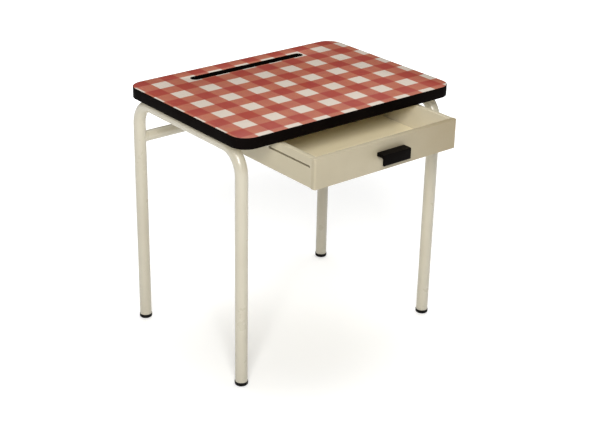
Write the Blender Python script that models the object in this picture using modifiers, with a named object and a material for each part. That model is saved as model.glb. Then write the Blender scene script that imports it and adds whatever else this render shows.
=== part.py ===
"""A child's school desk: a laminated top on two bent-tube side frames, with a shallow drawer
that hangs by its side grooves on two folded steel runners.

Metres, +Z up. The child sits on the -Y side. The origin is on the floor, under the middle of the
desk's outline with the drawer pulled out by DRAWER_OPENING.
"""

import math

import bmesh
import bpy
from mathutils import Matrix, Vector

# Space left between pieces that touch, and the thinner line of glue under a laminate
GAP = 0.0003
GLUE_LINE = 0.0001

# Tabletop
TOP_WIDTH = 0.600
TOP_DEPTH = 0.432
TOP_HEIGHT = 0.592
TOP_THICKNESS = 0.025
TOP_CORNER_RADIUS = 0.038
LAMINATE_THICKNESS = 0.0010
BACKING_THICKNESS = 0.0008
EDGE_BAND_THICKNESS = 0.0013

# Pen groove, routed through the laminate into the core near the back edge
PEN_GROOVE_LENGTH = 0.323
PEN_GROOVE_WIDTH = 0.0245
PEN_GROOVE_DEPTH = 0.009
PEN_GROOVE_FROM_BACK = 0.054

# Side frames: one tube each, bent into an upside-down U, and the rail between the back legs
TUBE_DIAMETER = 0.028
TUBE_WALL = 0.0015
BEND_RADIUS = 0.055
LEG_SPREAD = 0.5526
FRONT_LEG_SETBACK = 0.032
BACK_LEG_SETBACK = 0.0127
RAIL_DIAMETER = 0.025
RAIL_HEIGHT = 0.464

# Rounded caps under the legs, each with a plug up inside the tube
CAP_DIAMETER = 0.030
CAP_HEIGHT = 0.0093
CAP_EDGE_RADIUS = 0.004
CAP_PLUG_LENGTH = 0.018
CAP_PLUG_PLAY = 0.0002

# Steel tabs welded to the top of each side frame, and the screws up through them
TAB_THICKNESS = 0.0025
TAB_LENGTH = 0.030
TAB_INNER_X = 0.237
TAB_OUTER_X = 0.2678
TAB_CORNER_RADIUS = 0.005
TAB_SCREW_X = 0.249
TAB_Y = {"front": -0.105, "back": 0.125}

# Round-head wood screws
SCREW_LENGTH = 0.016
SCREW_SHANK_RADIUS = 0.0019
SCREW_HEAD_RADIUS = 0.0038
SCREW_HEAD_HEIGHT = 0.0024
SCREW_POINT_LENGTH = 0.003
SCREW_BORE_RADIUS = SCREW_SHANK_RADIUS + GAP

# Drawer
DRAWER_WIDTH = 0.400
DRAWER_DEPTH = 0.360
DRAWER_HEIGHT = 0.067
DRAWER_UNDERSIDE = 0.497
DRAWER_INSET = 0.0195
DRAWER_WALL = 0.012
DRAWER_CORNER_RADIUS = 0.004
DRAWER_OPENING = 0.131
FLOOR_PANEL_THICKNESS = 0.004
FLOOR_PANEL_HEIGHT = 0.006
FLOOR_PANEL_HOUSING = 0.0045
SIDE_GROOVE_LOW = 0.0442
SIDE_GROOVE_HEIGHT = 0.0044
SIDE_GROOVE_DEPTH = 0.007
SIDE_GROOVE_STOP = 0.016
ARRIS = 0.0008

# Drawer dowels, two in each corner, clear of the side grooves
DOWEL_RADIUS = 0.003
DOWEL_LENGTH = 0.028
DOWEL_IN_THIN_BOARD = 0.008
DOWEL_CHAMFER = 0.0008
DOWEL_HEIGHTS = {"lower": 0.024, "upper": 0.057}

# Drawer pull: a flat plate with a lip that turns down, screwed on a little right of the middle
PULL_LENGTH = 0.0765
PULL_DEPTH = 0.023
PULL_OFFSET = 0.0057
PULL_PLATE_THICKNESS = 0.008
PULL_LIP_THICKNESS = 0.005
PULL_LIP_HEIGHT = 0.0245
PULL_TOP = 0.0435
PULL_SCREW_SPACING = 0.048
PULL_SCREW_LENGTH = 0.020
PULL_EDGE_RADIUS = 0.0015

# Runners: a flange under the top, a web beside the drawer and a lip in the drawer's groove. The
# web's front edge slants back by RUNNER_NOSE on its way down, so the lip starts that far back.
RUNNER_THICKNESS = 0.002
RUNNER_LENGTH = 0.339
RUNNER_NOSE = 0.019
RUNNER_SIDE_PLAY = 0.003
RUNNER_FOLD_RADIUS = 0.002
RUNNER_TOP_FLANGE = 0.021
RUNNER_GROOVE_PLAY = 0.0015
RUNNER_SCREW_Y = {"front": -0.170, "middle": -0.030, "back": 0.110}

ARC_STEPS = 8
TUBE_SIDES = 20
TURNED_STEPS = 20
SMALL_TURNED_STEPS = 12
WELD_DISTANCE = 0.00001

# Worked out from the sizes above, in the desk's own frame: on the floor, under the top's centre
TOP_UNDERSIDE = TOP_HEIGHT - TOP_THICKNESS
CORE_TOP = TOP_HEIGHT - LAMINATE_THICKNESS - GLUE_LINE
CORE_UNDERSIDE = TOP_UNDERSIDE + BACKING_THICKNESS + GLUE_LINE
CORE_WIDTH = TOP_WIDTH - 2 * (EDGE_BAND_THICKNESS + GLUE_LINE)
CORE_DEPTH = TOP_DEPTH - 2 * (EDGE_BAND_THICKNESS + GLUE_LINE)
CORE_CORNER_RADIUS = TOP_CORNER_RADIUS - EDGE_BAND_THICKNESS - GLUE_LINE
PEN_GROOVE_Y = TOP_DEPTH / 2 - PEN_GROOVE_FROM_BACK
STEEL_TOP = TOP_UNDERSIDE - GAP
TUBE_RADIUS = TUBE_DIAMETER / 2
LEG_X = LEG_SPREAD / 2
FRONT_LEG_Y = FRONT_LEG_SETBACK - TOP_DEPTH / 2
BACK_LEG_Y = TOP_DEPTH / 2 - BACK_LEG_SETBACK
TUBE_FOOT = CAP_HEIGHT + GAP
DRAWER_FRONT_CLOSED = DRAWER_INSET - TOP_DEPTH / 2
GROOVE_TOP = DRAWER_UNDERSIDE + SIDE_GROOVE_LOW + SIDE_GROOVE_HEIGHT
RUNNER_FRONT = DRAWER_FRONT_CLOSED + SIDE_GROOVE_STOP + GAP - RUNNER_NOSE
RUNNER_SCREW_X = DRAWER_WIDTH / 2 + RUNNER_SIDE_PLAY + RUNNER_THICKNESS + RUNNER_TOP_FLANGE / 2
DESK_FRONT = DRAWER_FRONT_CLOSED - DRAWER_OPENING - PULL_DEPTH
DESK_BACK = BACK_LEG_Y + CAP_DIAMETER / 2

SIDES = {"left": -1, "right": 1}


def srgb(code):
    """The linear colour of an sRGB hex code."""
    channels = [int(code[i : i + 2], 16) / 255 for i in (1, 3, 5)]
    linear = [c / 12.92 if c <= 0.04045 else ((c + 0.055) / 1.055) ** 2.4 for c in channels]
    return (*linear, 1.0)


def finish(name, colour, roughness, metallic=0.0):
    material = bpy.data.materials.new(name)
    material.use_nodes = True
    shader = material.node_tree.nodes["Principled BSDF"]
    shader.inputs["Base Color"].default_value = srgb(colour)
    shader.inputs["Roughness"].default_value = roughness
    shader.inputs["Metallic"].default_value = metallic
    material.diffuse_color = srgb(colour)
    return material


def collection(name):
    found = bpy.data.collections.new(name)
    bpy.context.scene.collection.children.link(found)
    return found


def empty(name, location, parent=None):
    holder = bpy.data.objects.new(name, None)
    parts.objects.link(holder)
    holder.location = location
    holder.parent = parent
    return holder


def add_piece(name, data, location, parent, material):
    piece = bpy.data.objects.new(name, data)
    parts.objects.link(piece)
    piece.location = location
    piece.parent = parent
    data.materials.append(material)
    return piece


def add_cutter(name, mesh, parent):
    cutter = bpy.data.objects.new(name, mesh)
    cutters.objects.link(cutter)
    cutter.parent = parent
    cutter.hide_render = True
    cutter.display_type = "WIRE"
    return cutter


def cut(piece, cutter):
    difference = piece.modifiers.new(cutter.name, "BOOLEAN")
    difference.operation = "DIFFERENCE"
    difference.object = cutter


def soften(piece, width, segments=2):
    bevel = piece.modifiers.new("soften", "BEVEL")
    bevel.width = width
    bevel.segments = segments
    bevel.limit_method = "ANGLE"
    bevel.angle_limit = math.radians(40)


def smooth(mesh):
    mesh.shade_smooth()
    mesh.set_sharp_from_angle(angle=math.radians(35))


def mesh_from(bm, name):
    mesh = bpy.data.meshes.new(name)
    bmesh.ops.recalc_face_normals(bm, faces=bm.faces)
    bm.to_mesh(mesh)
    bm.free()
    return mesh


def cuboid(low, high):
    """A bmesh box between two corners."""
    low, high = Vector(low), Vector(high)
    bm = bmesh.new()
    bmesh.ops.create_cube(bm, size=1.0)
    bmesh.ops.scale(bm, vec=high - low, verts=bm.verts)
    bmesh.ops.translate(bm, vec=(low + high) / 2, verts=bm.verts)
    return bm


def board(name, low, high, parent, material):
    """A board between two corners, with its origin at its middle and its arrises taken off."""
    middle = (Vector(low) + Vector(high)) / 2
    bm = cuboid(Vector(low) - middle, Vector(high) - middle)
    piece = add_piece(name, mesh_from(bm, name), middle, parent, material)
    soften(piece, ARRIS)
    return piece


def box_cutter(name, low, high, parent):
    return add_cutter(name, mesh_from(cuboid(low, high), name), parent)


def bores(name, holes, radius, parent, steps=SMALL_TURNED_STEPS):
    """One cutter for round holes that don't meet, each given by the two ends of its axis."""
    bm = bmesh.new()
    for start, end in holes:
        start, end = Vector(start), Vector(end)
        turn = Vector((0, 0, 1)).rotation_difference(end - start).to_matrix().to_4x4()
        place = Matrix.Translation((start + end) / 2) @ turn
        bmesh.ops.create_cone(
            bm,
            cap_ends=True,
            segments=steps,
            radius1=radius,
            radius2=radius,
            depth=(end - start).length,
            matrix=place,
        )
    return add_cutter(name, mesh_from(bm, name), parent)


def arc(centre, radius, start, end, steps=ARC_STEPS):
    """Points on an arc in a plane, from one angle to another in degrees."""
    angles = [math.radians(start + (end - start) * i / steps) for i in range(steps + 1)]
    return [(centre[0] + radius * math.cos(a), centre[1] + radius * math.sin(a)) for a in angles]


def rounded_rectangle(width, depth, radius, centre=(0.0, 0.0)):
    """The outline of a rectangle with round corners, anticlockwise, with no point twice."""
    x, y = width / 2 - radius, depth / 2 - radius
    points = []
    for corner_x, corner_y, start in ((x, y, 0), (-x, y, 90), (-x, -y, 180), (x, -y, 270)):
        corner = (centre[0] + corner_x, centre[1] + corner_y)
        for point in arc(corner, radius, start, start + 90):
            if not points or math.dist(points[-1], point) > 1e-6:
                points.append(point)
    if math.dist(points[0], points[-1]) < 1e-6:
        points.pop()
    return points


def pen_groove_outline():
    length, width = PEN_GROOVE_LENGTH, PEN_GROOVE_WIDTH
    return rounded_rectangle(length, width, width / 2, (0.0, PEN_GROOVE_Y))


def sheet(name, outlines, low, high):
    """A flat curve filled inside its first outline and outside the others, thick from low to high."""
    curve = bpy.data.curves.new(name, "CURVE")
    curve.dimensions = "2D"
    curve.fill_mode = "BOTH"
    curve.extrude = (high - low) / 2
    for outline in outlines:
        spline = curve.splines.new("POLY")
        spline.points.add(len(outline) - 1)
        for point, (x, y) in zip(spline.points, outline):
            point.co = (x, y, 0.0, 1.0)
        spline.use_cyclic_u = True
    return curve, (0.0, 0.0, (low + high) / 2)


def solid_of(curve):
    """The curve's filled and extruded shape as a welded mesh, so that it can be cut."""
    holder = bpy.data.objects.new(curve.name, curve)
    parts.objects.link(holder)
    evaluated = holder.evaluated_get(bpy.context.evaluated_depsgraph_get())
    mesh = bpy.data.meshes.new_from_object(evaluated)
    bpy.data.objects.remove(holder)
    bm = bmesh.new()
    bm.from_mesh(mesh)
    bmesh.ops.remove_doubles(bm, verts=bm.verts, dist=WELD_DISTANCE)
    bm.to_mesh(mesh)
    bm.free()
    return mesh


def turned(name, profile, steps):
    """A mesh for a Screw modifier: a profile of (radius, height) from the top of its axis down."""
    mesh = bpy.data.meshes.new(name)
    edges = [(i, i + 1) for i in range(len(profile) - 1)]
    mesh.from_pydata([(radius, 0.0, height) for radius, height in profile], edges, [])
    return mesh, steps


def add_turned(name, turned_mesh, location, parent, material):
    mesh, steps = turned_mesh
    piece = add_piece(name, mesh, location, parent, material)
    lathe = piece.modifiers.new("lathe", "SCREW")
    lathe.axis = "Z"
    lathe.steps = steps
    lathe.render_steps = steps
    lathe.use_merge_vertices = True
    lathe.merge_threshold = WELD_DISTANCE
    lathe.use_smooth_shade = True
    return piece


# Tabletop


def screw_holes_in_top():
    """(x, y) of every screw that goes up into the tabletop."""
    tabs = [(sign * TAB_SCREW_X, y) for sign in SIDES.values() for y in TAB_Y.values()]
    runners = [(sign * RUNNER_SCREW_X, y) for sign in SIDES.values() for y in RUNNER_SCREW_Y.values()]
    return tabs + runners


def top_bores():
    depth = SCREW_LENGTH + GAP
    lowest = STEEL_TOP - 2 * TAB_THICKNESS
    holes = [((x, y, lowest), (x, y, STEEL_TOP + depth)) for x, y in screw_holes_in_top()]
    return bores("top_screw_bores", holes, SCREW_BORE_RADIUS, desk)


def tabletop_core(screw_bores):
    outline = rounded_rectangle(CORE_WIDTH, CORE_DEPTH, CORE_CORNER_RADIUS)
    curve, middle = sheet("tabletop_core", [outline], CORE_UNDERSIDE, CORE_TOP)
    core = add_piece("tabletop_core", solid_of(curve), middle, desk, black_board)
    groove_floor = TOP_HEIGHT - PEN_GROOVE_DEPTH
    curve, middle = sheet("pen_groove", [pen_groove_outline()], groove_floor, TOP_HEIGHT)
    groove = add_cutter("pen_groove", solid_of(curve), desk)
    groove.location = middle
    cut(core, groove)
    cut(core, screw_bores)


def tabletop_laminate():
    outline = rounded_rectangle(CORE_WIDTH, CORE_DEPTH, CORE_CORNER_RADIUS)
    low = TOP_HEIGHT - LAMINATE_THICKNESS
    curve, middle = sheet("tabletop_laminate", [outline, pen_groove_outline()], low, TOP_HEIGHT)
    add_piece("tabletop_laminate", curve, middle, desk, printed_laminate)


def tabletop_backing():
    outline = rounded_rectangle(CORE_WIDTH, CORE_DEPTH, CORE_CORNER_RADIUS)
    holes = []
    for centre in screw_holes_in_top():
        circle = arc(centre, SCREW_BORE_RADIUS, 0, 360, SMALL_TURNED_STEPS)
        holes.append(circle[:-1])
    high = TOP_UNDERSIDE + BACKING_THICKNESS
    curve, middle = sheet("tabletop_backing", [outline, *holes], TOP_UNDERSIDE, high)
    add_piece("tabletop_backing", curve, middle, desk, white_laminate)


def edge_band():
    outer = rounded_rectangle(TOP_WIDTH, TOP_DEPTH, TOP_CORNER_RADIUS)
    trim = 2 * EDGE_BAND_THICKNESS
    inner_radius = TOP_CORNER_RADIUS - EDGE_BAND_THICKNESS
    inner = rounded_rectangle(TOP_WIDTH - trim, TOP_DEPTH - trim, inner_radius)
    curve, middle = sheet("edge_band", [outer, inner], TOP_UNDERSIDE, TOP_HEIGHT)
    add_piece("edge_band", curve, middle, desk, black_edge)


# Frame


def side_frame(side, sign):
    """One tube from foot to foot, bent over at the front and back and open at both ends."""
    run_height = STEEL_TOP - TUBE_RADIUS
    shoulder = run_height - BEND_RADIUS
    front = arc((FRONT_LEG_Y + BEND_RADIUS, shoulder), BEND_RADIUS, 180, 90)
    back = arc((BACK_LEG_Y - BEND_RADIUS, shoulder), BEND_RADIUS, 90, 0)
    route = [(FRONT_LEG_Y, TUBE_FOOT), *front, *back, (BACK_LEG_Y, TUBE_FOOT)]
    curve = bpy.data.curves.new(f"side_frame_{side}", "CURVE")
    curve.dimensions = "3D"
    curve.bevel_depth = TUBE_RADIUS
    curve.bevel_resolution = TUBE_SIDES // 2 - 2
    spline = curve.splines.new("POLY")
    spline.points.add(len(route) - 1)
    for point, (y, z) in zip(spline.points, route):
        point.co = (0.0, y, z, 1.0)
    frame = add_piece(curve.name, curve, (sign * LEG_X, 0.0, 0.0), desk, cream_steel)
    wall = frame.modifiers.new("wall", "SOLIDIFY")
    wall.thickness = TUBE_WALL
    wall.offset = -1.0
    wall.use_even_offset = True


def back_rail():
    """A tube between the back legs, its ends coped to sit against them."""
    bm = bmesh.new()
    along_x = Matrix.Rotation(math.radians(90), 4, "Y")
    bmesh.ops.create_cone(
        bm,
        cap_ends=False,
        segments=TUBE_SIDES,
        radius1=RAIL_DIAMETER / 2,
        radius2=RAIL_DIAMETER / 2,
        depth=LEG_SPREAD,
        matrix=along_x,
    )
    mesh = mesh_from(bm, "back_rail")
    smooth(mesh)
    rail = add_piece("back_rail", mesh, (0.0, BACK_LEG_Y, RAIL_HEIGHT), desk, cream_steel)
    wall = rail.modifiers.new("wall", "SOLIDIFY")
    wall.thickness = TUBE_WALL
    wall.offset = -1.0
    reach = RAIL_DIAMETER
    holes = [
        ((x, BACK_LEG_Y, RAIL_HEIGHT - reach), (x, BACK_LEG_Y, RAIL_HEIGHT + reach))
        for x in (-LEG_X, LEG_X)
    ]
    cope = bores("back_leg_copes", holes, TUBE_RADIUS + GAP, desk, TUBE_SIDES)
    cut(rail, cope)


def foot_caps():
    plug_radius = TUBE_RADIUS - TUBE_WALL - CAP_PLUG_PLAY
    cap_radius = CAP_DIAMETER / 2
    plug_top = CAP_HEIGHT + CAP_PLUG_LENGTH
    lower_edge = arc((cap_radius - CAP_EDGE_RADIUS, CAP_EDGE_RADIUS), CAP_EDGE_RADIUS, 0, -90, 4)
    profile = [
        (0.0, plug_top),
        (plug_radius - 0.001, plug_top),
        (plug_radius, plug_top - 0.001),
        (plug_radius, CAP_HEIGHT),
        (cap_radius - 0.0005, CAP_HEIGHT),
        (cap_radius, CAP_HEIGHT - 0.0005),
        *lower_edge,
        (0.0, 0.0),
    ]
    cap = turned("foot_cap", profile, TURNED_STEPS)
    for side, sign in SIDES.items():
        for end, y in (("front", FRONT_LEG_Y), ("back", BACK_LEG_Y)):
            add_turned(f"foot_cap_{end}_{side}", cap, (sign * LEG_X, y, 0.0), desk, black_rubber)


def wood_screw(length):
    """A round-head screw standing on its head's seat: point up, head below."""
    dome = arc((0.0, 0.0), SCREW_HEAD_RADIUS, 0, -90, 4)
    flatten = SCREW_HEAD_HEIGHT / SCREW_HEAD_RADIUS
    profile = [
        (0.0, length),
        (SCREW_SHANK_RADIUS, length - SCREW_POINT_LENGTH),
        (SCREW_SHANK_RADIUS, 0.0),
        *[(radius, height * flatten) for radius, height in dome[:-1]],
        (0.0, -SCREW_HEAD_HEIGHT),
    ]
    return turned(f"wood_screw_{round(length * 1000)}", profile, SMALL_TURNED_STEPS)


def fixing_tabs(screw, screw_bores):
    for side, sign in SIDES.items():
        for end, y in TAB_Y.items():
            ends = sorted((sign * TAB_INNER_X, sign * TAB_OUTER_X))
            low = Vector((ends[0], y - TAB_LENGTH / 2, STEEL_TOP - TAB_THICKNESS))
            high = Vector((ends[1], y + TAB_LENGTH / 2, STEEL_TOP))
            middle = (low + high) / 2
            bm = cuboid(low - middle, high - middle)
            inner = [
                edge
                for edge in bm.edges
                if all(sign * vert.co.x < 0 for vert in edge.verts)
                and abs(edge.verts[0].co.z - edge.verts[1].co.z) > TAB_THICKNESS / 2
            ]
            bmesh.ops.bevel(
                bm, geom=inner, offset=TAB_CORNER_RADIUS, segments=3, profile=0.5, affect="EDGES"
            )
            name = f"fixing_tab_{end}_{side}"
            tab = add_piece(name, mesh_from(bm, name), middle, desk, cream_steel)
            cut(tab, screw_bores)
            seat = STEEL_TOP - TAB_THICKNESS - GAP
            place = (sign * TAB_SCREW_X, y, seat)
            add_turned(f"tab_screw_{end}_{side}", screw, place, desk, zinc_steel)


def folded_path(corners, radius, steps=3):
    """A path through the corners with each bend rounded, for a strip of folded sheet."""
    path = [corners[0]]
    for before, corner, after in zip(corners, corners[1:], corners[2:]):
        before, corner, after = Vector(before), Vector(corner), Vector(after)
        back = (before - corner).normalized() * radius
        on = (after - corner).normalized() * radius
        centre = corner + back + on
        for i in range(steps + 1):
            angle = math.pi / 2 * i / steps
            path.append(tuple(centre - on * math.cos(angle) - back * math.sin(angle)))
    path.append(corners[-1])
    return path


def runner(side, sign, screw, screw_bores):
    """A strip folded into a Z: under the top, down beside the drawer and into its groove."""
    half = RUNNER_THICKNESS / 2
    web_x = DRAWER_WIDTH / 2 + RUNNER_SIDE_PLAY + half
    lip_x = DRAWER_WIDTH / 2 - SIDE_GROOVE_DEPTH + RUNNER_GROOVE_PLAY
    lip_z = GROOVE_TOP - GAP - half
    flange_z = STEEL_TOP - half
    flange_x = web_x + half + RUNNER_TOP_FLANGE
    corners = [(lip_x, lip_z), (web_x, lip_z), (web_x, flange_z), (flange_x, flange_z)]
    bm = bmesh.new()
    verts = []
    for x, z in folded_path(corners, RUNNER_FOLD_RADIUS):
        start = RUNNER_NOSE if z < (lip_z + flange_z) / 2 else 0.0
        verts.append(bm.verts.new((sign * x, start, z)))
    edges = [bm.edges.new(pair) for pair in zip(verts, verts[1:])]
    drawn = bmesh.ops.extrude_edge_only(bm, edges=edges)
    for item in drawn["geom"]:
        if isinstance(item, bmesh.types.BMVert):
            item.co.y = RUNNER_LENGTH
    mesh = mesh_from(bm, f"runner_{side}")
    smooth(mesh)
    piece = add_piece(f"runner_{side}", mesh, (0.0, RUNNER_FRONT, 0.0), desk, cream_steel)
    gauge = piece.modifiers.new("gauge", "SOLIDIFY")
    gauge.thickness = RUNNER_THICKNESS
    gauge.offset = 0.0
    gauge.use_even_offset = True
    cut(piece, screw_bores)
    seat = STEEL_TOP - RUNNER_THICKNESS - GAP
    for end, y in RUNNER_SCREW_Y.items():
        place = (sign * RUNNER_SCREW_X, y, seat)
        add_turned(f"runner_screw_{end}_{side}", screw, place, desk, zinc_steel)


# Drawer, in its own frame: x across, y back from its front face, z up from its underside


def floor_housing():
    """The groove that the floor panel is housed in, in one cutter for all four walls."""
    reach_x = DRAWER_WIDTH / 2 - DRAWER_WALL + FLOOR_PANEL_HOUSING + GAP
    front = DRAWER_WALL - FLOOR_PANEL_HOUSING - GAP
    back = DRAWER_DEPTH - front
    low = FLOOR_PANEL_HEIGHT - GAP
    high = FLOOR_PANEL_HEIGHT + FLOOR_PANEL_THICKNESS + GAP
    return box_cutter("floor_housing", (-reach_x, front, low), (reach_x, back, high), drawer)


def dowel_joints():
    """Every dowel's name, with the two ends of its axis."""
    x = DRAWER_WIDTH / 2 - DRAWER_WALL / 2
    inner_x = DRAWER_WIDTH / 2 - DRAWER_WALL
    y = DRAWER_DEPTH - DRAWER_WALL / 2
    start = DRAWER_WALL - DOWEL_IN_THIN_BOARD
    outer_x = inner_x + DOWEL_IN_THIN_BOARD
    joints = {}
    for side, sign in SIDES.items():
        for level, z in DOWEL_HEIGHTS.items():
            front = ((sign * x, start, z), (sign * x, start + DOWEL_LENGTH, z))
            back = ((sign * outer_x, y, z), (sign * (outer_x - DOWEL_LENGTH), y, z))
            joints[f"dowel_front_{side}_{level}"] = front
            joints[f"dowel_back_{side}_{level}"] = back
    return joints


def dowels(joints):
    half = DOWEL_LENGTH / 2 - GAP
    radius = DOWEL_RADIUS
    profile = [
        (0.0, half),
        (radius - DOWEL_CHAMFER, half),
        (radius, half - DOWEL_CHAMFER),
        (radius, DOWEL_CHAMFER - half),
        (radius - DOWEL_CHAMFER, -half),
        (0.0, -half),
    ]
    peg = turned("dowel", profile, SMALL_TURNED_STEPS)
    for name, (start, end) in joints.items():
        middle = (Vector(start) + Vector(end)) / 2
        dowel = add_turned(name, peg, middle, drawer, beech)
        along = Vector(end) - Vector(start)
        dowel.rotation_euler = Vector((0, 0, 1)).rotation_difference(along).to_euler()


def drawer_front(cutting):
    """The front covers the ends of the sides, so its own two outer corners are rounded."""
    half = DRAWER_WIDTH / 2
    bm = cuboid((-half, 0.0, 0.0), (half, DRAWER_WALL, DRAWER_HEIGHT))
    corners = [
        edge
        for edge in bm.edges
        if all(vert.co.y < DRAWER_WALL / 2 for vert in edge.verts)
        and abs(edge.verts[0].co.z - edge.verts[1].co.z) > DRAWER_HEIGHT / 2
    ]
    bmesh.ops.bevel(
        bm, geom=corners, offset=DRAWER_CORNER_RADIUS, segments=6, profile=0.5, affect="EDGES"
    )
    mesh = mesh_from(bm, "drawer_front")
    smooth(mesh)
    front = add_piece("drawer_front", mesh, (0.0, 0.0, 0.0), drawer, cream_lacquer)
    soften(front, ARRIS)
    for cutter in cutting:
        cut(front, cutter)


def drawer_sides(cutting):
    half = DRAWER_WIDTH / 2
    low = SIDE_GROOVE_LOW
    high = SIDE_GROOVE_LOW + SIDE_GROOVE_HEIGHT
    past = 0.001
    for side, sign in SIDES.items():
        across = sorted((sign * half, sign * (half - DRAWER_WALL)))
        near = (across[0], DRAWER_WALL + GAP, 0.0)
        far = (across[1], DRAWER_DEPTH, DRAWER_HEIGHT)
        wall = board(f"drawer_side_{side}", near, far, drawer, cream_lacquer)
        groove_x = sorted((sign * (half + past), sign * (half - SIDE_GROOVE_DEPTH)))
        groove = box_cutter(
            f"runner_groove_{side}",
            (groove_x[0], SIDE_GROOVE_STOP, low),
            (groove_x[1], DRAWER_DEPTH + past, high),
            drawer,
        )
        cut(wall, groove)
        for cutter in cutting:
            cut(wall, cutter)


def drawer_back(cutting):
    half = DRAWER_WIDTH / 2 - DRAWER_WALL - GAP
    near = (-half, DRAWER_DEPTH - DRAWER_WALL, 0.0)
    far = (half, DRAWER_DEPTH, DRAWER_HEIGHT)
    wall = board("drawer_back", near, far, drawer, cream_lacquer)
    for cutter in cutting:
        cut(wall, cutter)


def drawer_floor():
    half = DRAWER_WIDTH / 2 - DRAWER_WALL + FLOOR_PANEL_HOUSING
    front = DRAWER_WALL - FLOOR_PANEL_HOUSING
    low = (-half, front, FLOOR_PANEL_HEIGHT)
    high = (half, DRAWER_DEPTH - front, FLOOR_PANEL_HEIGHT + FLOOR_PANEL_THICKNESS)
    board("drawer_floor", low, high, drawer, cream_lacquer)


def pull_bores():
    z = PULL_TOP - PULL_PLATE_THICKNESS / 2
    end = DRAWER_WALL - PULL_SCREW_LENGTH - GAP
    places = [PULL_OFFSET + sign * PULL_SCREW_SPACING / 2 for sign in SIDES.values()]
    holes = [((x, DRAWER_WALL + ARRIS, z), (x, end, z)) for x in places]
    return bores("pull_screw_bores", holes, SCREW_BORE_RADIUS, drawer)


def drawer_pull(bores_through):
    """A plate along the front with a lip turned down at its outer edge."""
    plate_low = PULL_TOP - PULL_PLATE_THICKNESS
    lip_low = PULL_TOP - PULL_LIP_HEIGHT
    lip_back = -PULL_DEPTH + PULL_LIP_THICKNESS
    outline = [
        (-GAP, PULL_TOP),
        (-PULL_DEPTH, PULL_TOP),
        (-PULL_DEPTH, lip_low),
        (lip_back, lip_low),
        (lip_back, plate_low),
        (-GAP, plate_low),
    ]
    half = PULL_LENGTH / 2
    curve, _ = sheet("drawer_pull", [outline], -half, half)
    pull = add_piece("drawer_pull", solid_of(curve), (PULL_OFFSET, 0.0, 0.0), drawer, black_plastic)
    pull.rotation_euler = (math.radians(90), 0.0, math.radians(90))
    soften(pull, PULL_EDGE_RADIUS)
    cut(pull, bores_through)


def pull_screws():
    screw = wood_screw(PULL_SCREW_LENGTH)
    z = PULL_TOP - PULL_PLATE_THICKNESS / 2
    for side, sign in SIDES.items():
        place = (PULL_OFFSET + sign * PULL_SCREW_SPACING / 2, DRAWER_WALL + GAP, z)
        piece = add_turned(f"pull_screw_{side}", screw, place, drawer, zinc_steel)
        piece.rotation_euler = (math.radians(90), 0.0, 0.0)


def build_desk():
    screw_bores = top_bores()
    tabletop_core(screw_bores)
    tabletop_laminate()
    tabletop_backing()
    edge_band()
    screw = wood_screw(SCREW_LENGTH)
    for side, sign in SIDES.items():
        side_frame(side, sign)
        runner(side, sign, screw, screw_bores)
    back_rail()
    foot_caps()
    fixing_tabs(screw, screw_bores)


def build_drawer():
    joints = dowel_joints()
    dowel_bores = bores("dowel_bores", joints.values(), DOWEL_RADIUS + GAP, drawer)
    housing = floor_housing()
    through_front = pull_bores()
    drawer_front([housing, dowel_bores, through_front])
    drawer_sides([housing, dowel_bores])
    drawer_back([housing, dowel_bores])
    drawer_floor()
    dowels(joints)
    drawer_pull(through_front)
    pull_screws()


for old in list(bpy.data.objects):
    bpy.data.objects.remove(old)

parts = collection("school_desk")
cutters = collection("cutters")

black_board = finish("black painted fibreboard", "#15110F", 0.6)
printed_laminate = finish("gingham printed laminate", "#B9614F", 0.4)
white_laminate = finish("white backing laminate", "#E4E1DA", 0.6)
black_edge = finish("black edge band", "#0E0B0A", 0.5)
cream_steel = finish("cream powder-coated steel", "#DCD4C1", 0.4)
cream_lacquer = finish("cream lacquered board", "#C6BCA5", 0.45)
black_rubber = finish("black moulded cap", "#0F0F10", 0.55)
black_plastic = finish("black moulded pull", "#100E0D", 0.45)
zinc_steel = finish("zinc-plated steel", "#B9BBBC", 0.35, 1.0)
beech = finish("beech dowel", "#C7A274", 0.6)

desk = empty("desk", (0.0, -(DESK_FRONT + DESK_BACK) / 2, 0.0))
drawer = empty("drawer_slide", (0.0, DRAWER_FRONT_CLOSED - DRAWER_OPENING, DRAWER_UNDERSIDE), desk)

build_desk()
build_drawer()
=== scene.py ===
"""The looks of a child's school desk: a gingham laminate top, bent-tube legs in cream powder coat
and a lacquered drawer, part open.

Metres, +Z up. The child sits on the -Y side.
"""

import math

import bmesh
import bpy
from mathutils import Matrix, Vector


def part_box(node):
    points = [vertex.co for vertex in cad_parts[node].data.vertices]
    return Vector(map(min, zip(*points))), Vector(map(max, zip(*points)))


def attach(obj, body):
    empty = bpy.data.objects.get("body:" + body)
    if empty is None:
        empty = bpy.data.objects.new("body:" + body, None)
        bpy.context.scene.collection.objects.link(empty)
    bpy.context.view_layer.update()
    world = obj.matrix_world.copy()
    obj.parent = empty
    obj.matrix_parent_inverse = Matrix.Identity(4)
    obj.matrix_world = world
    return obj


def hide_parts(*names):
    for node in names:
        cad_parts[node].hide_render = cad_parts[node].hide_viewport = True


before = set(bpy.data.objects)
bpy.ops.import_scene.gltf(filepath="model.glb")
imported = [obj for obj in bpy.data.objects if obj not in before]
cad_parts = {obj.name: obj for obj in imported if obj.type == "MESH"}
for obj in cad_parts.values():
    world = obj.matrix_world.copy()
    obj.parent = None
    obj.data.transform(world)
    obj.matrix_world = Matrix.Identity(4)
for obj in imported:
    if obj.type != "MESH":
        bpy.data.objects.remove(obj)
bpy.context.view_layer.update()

MM = 0.001

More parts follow.
